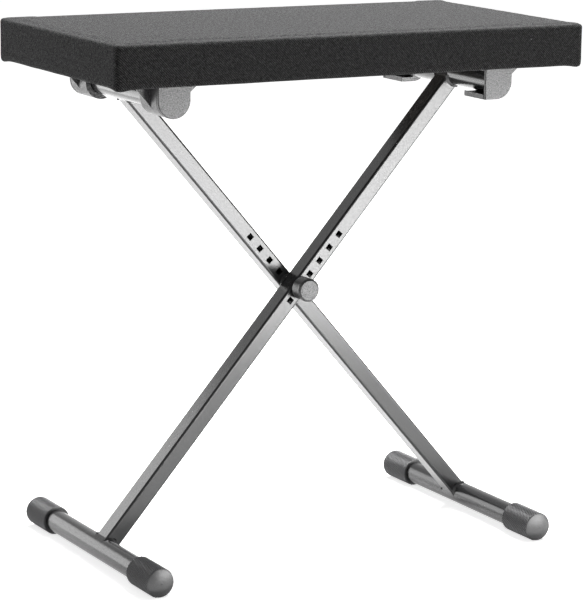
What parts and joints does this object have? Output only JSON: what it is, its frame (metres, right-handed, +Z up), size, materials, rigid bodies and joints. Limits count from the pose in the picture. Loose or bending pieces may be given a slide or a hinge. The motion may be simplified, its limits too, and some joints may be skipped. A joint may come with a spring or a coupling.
{
  "type": "folding keyboard bench",
  "caption": "Folding X-frame keyboard bench: padded rectangular seat on bearing and hook brackets, crossed tube legs with height holes and a clamp knob, floor bars with grip caps.",
  "frame": {"origin": "on the floor, midway between the two floor bars and under the middle of the seat", "axes": "+X along the seat towards the hooks, +Y to the rear, away from the clamp knob, +Z up"},
  "size_m": [0.566, 0.325, 0.5855],
  "materials": {
    "lacquered_steel": "gloss black lacquer",
    "grip_rubber": "matt, diamond knurl on the sleeve",
    "moulded_plastic": "satin moulded",
    "plated_steel": "bright zinc",
    "board_wood": "black-stained plywood",
    "foam": "open-cell foam",
    "woven_cover": "coarse matt twill"
  },
  "bodies": {
    "front_frame": {"front_leg": "lacquered_steel", "left_foot_bar": "lacquered_steel", "left_front_foot_cap": "grip_rubber", "left_rear_foot_cap": "grip_rubber", "right_crossbar": "lacquered_steel", "front_leg_weld_beads": "lacquered_steel"},
    "rear_frame": {"rear_leg": "lacquered_steel", "right_foot_bar": "lacquered_steel", "right_front_foot_cap": "grip_rubber", "right_rear_foot_cap": "grip_rubber", "left_crossbar": "lacquered_steel", "rear_leg_weld_beads": "lacquered_steel", "pivot_bolt": "plated_steel", "leg_spacer": "moulded_plastic"},
    "seat": {"seat_board": "board_wood", "seat_foam": "foam", "seat_cover": "woven_cover", "left_front_bearing": "moulded_plastic", "left_rear_bearing": "moulded_plastic", "right_front_hook": "moulded_plastic", "right_rear_hook": "moulded_plastic", "bracket_screws": "plated_steel"},
    "clamp": {"clamp_washer": "plated_steel"},
    "knob": {"clamp_knob": "moulded_plastic", "knob_insert": "plated_steel"}
  },
  "joints": [
    {"name": "leg_fold", "type": "hinge", "parent": "front_frame", "child": "rear_frame", "pos_m": [0, 0, 0.29019], "axis": [0, 1, 0], "range_deg": [0, 75]},
    {"name": "seat_pivot", "type": "hinge", "parent": "rear_frame", "child": "seat", "pos_m": [-0.19977, 0, 0.52], "axis": [0, 1, 0], "range_deg": [-38, 0]},
    {"name": "washer_slide", "type": "slide", "parent": "front_frame", "child": "clamp", "axis": [0, -1, 0], "range_m": [0, 0.002]},
    {"name": "knob_turn", "type": "hinge", "parent": "clamp", "child": "knob", "pos_m": [0, 0, 0.29019], "axis": [0, -1, 0], "range_deg": [0, 722]}
  ],
  "couplings": [
    {"joint": "seat_pivot", "follows": "leg_fold", "ratio": -0.5},
    {"joint": "knob_turn", "follows": "washer_slide", "rad_per_m": 6283.2}
  ]
}
